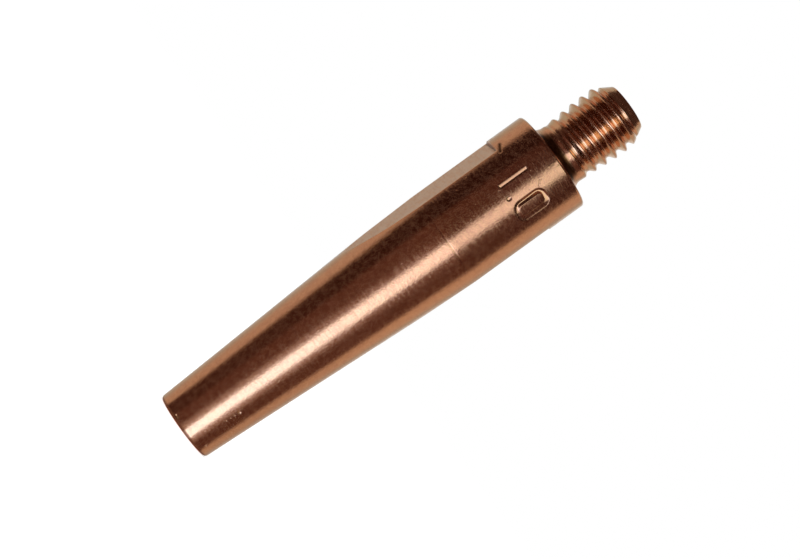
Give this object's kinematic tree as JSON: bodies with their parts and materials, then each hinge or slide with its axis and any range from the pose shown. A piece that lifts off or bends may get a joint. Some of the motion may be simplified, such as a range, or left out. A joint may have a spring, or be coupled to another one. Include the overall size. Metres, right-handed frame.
{
  "type": "welding torch tip",
  "caption": "Tapered turned copper welding torch tip with spanner flats, a stamped wire size and a threaded stub, standing on its nose.",
  "frame": {"origin": "on the axis at the nose face, which the tip stands on", "axes": "+Z along the axis from the nose to the threaded end, the two spanner flats face +X and -X, the stamped number is on the -Y side"},
  "size_m": [0.0088, 0.0088, 0.045],
  "materials": {
    "copper": "drawn and turned copper, semi-bright, with fine draw lines and small handling marks"
  },
  "bodies": {
    "root": {"torch_tip": "copper"}
  },
  "joints": []
}
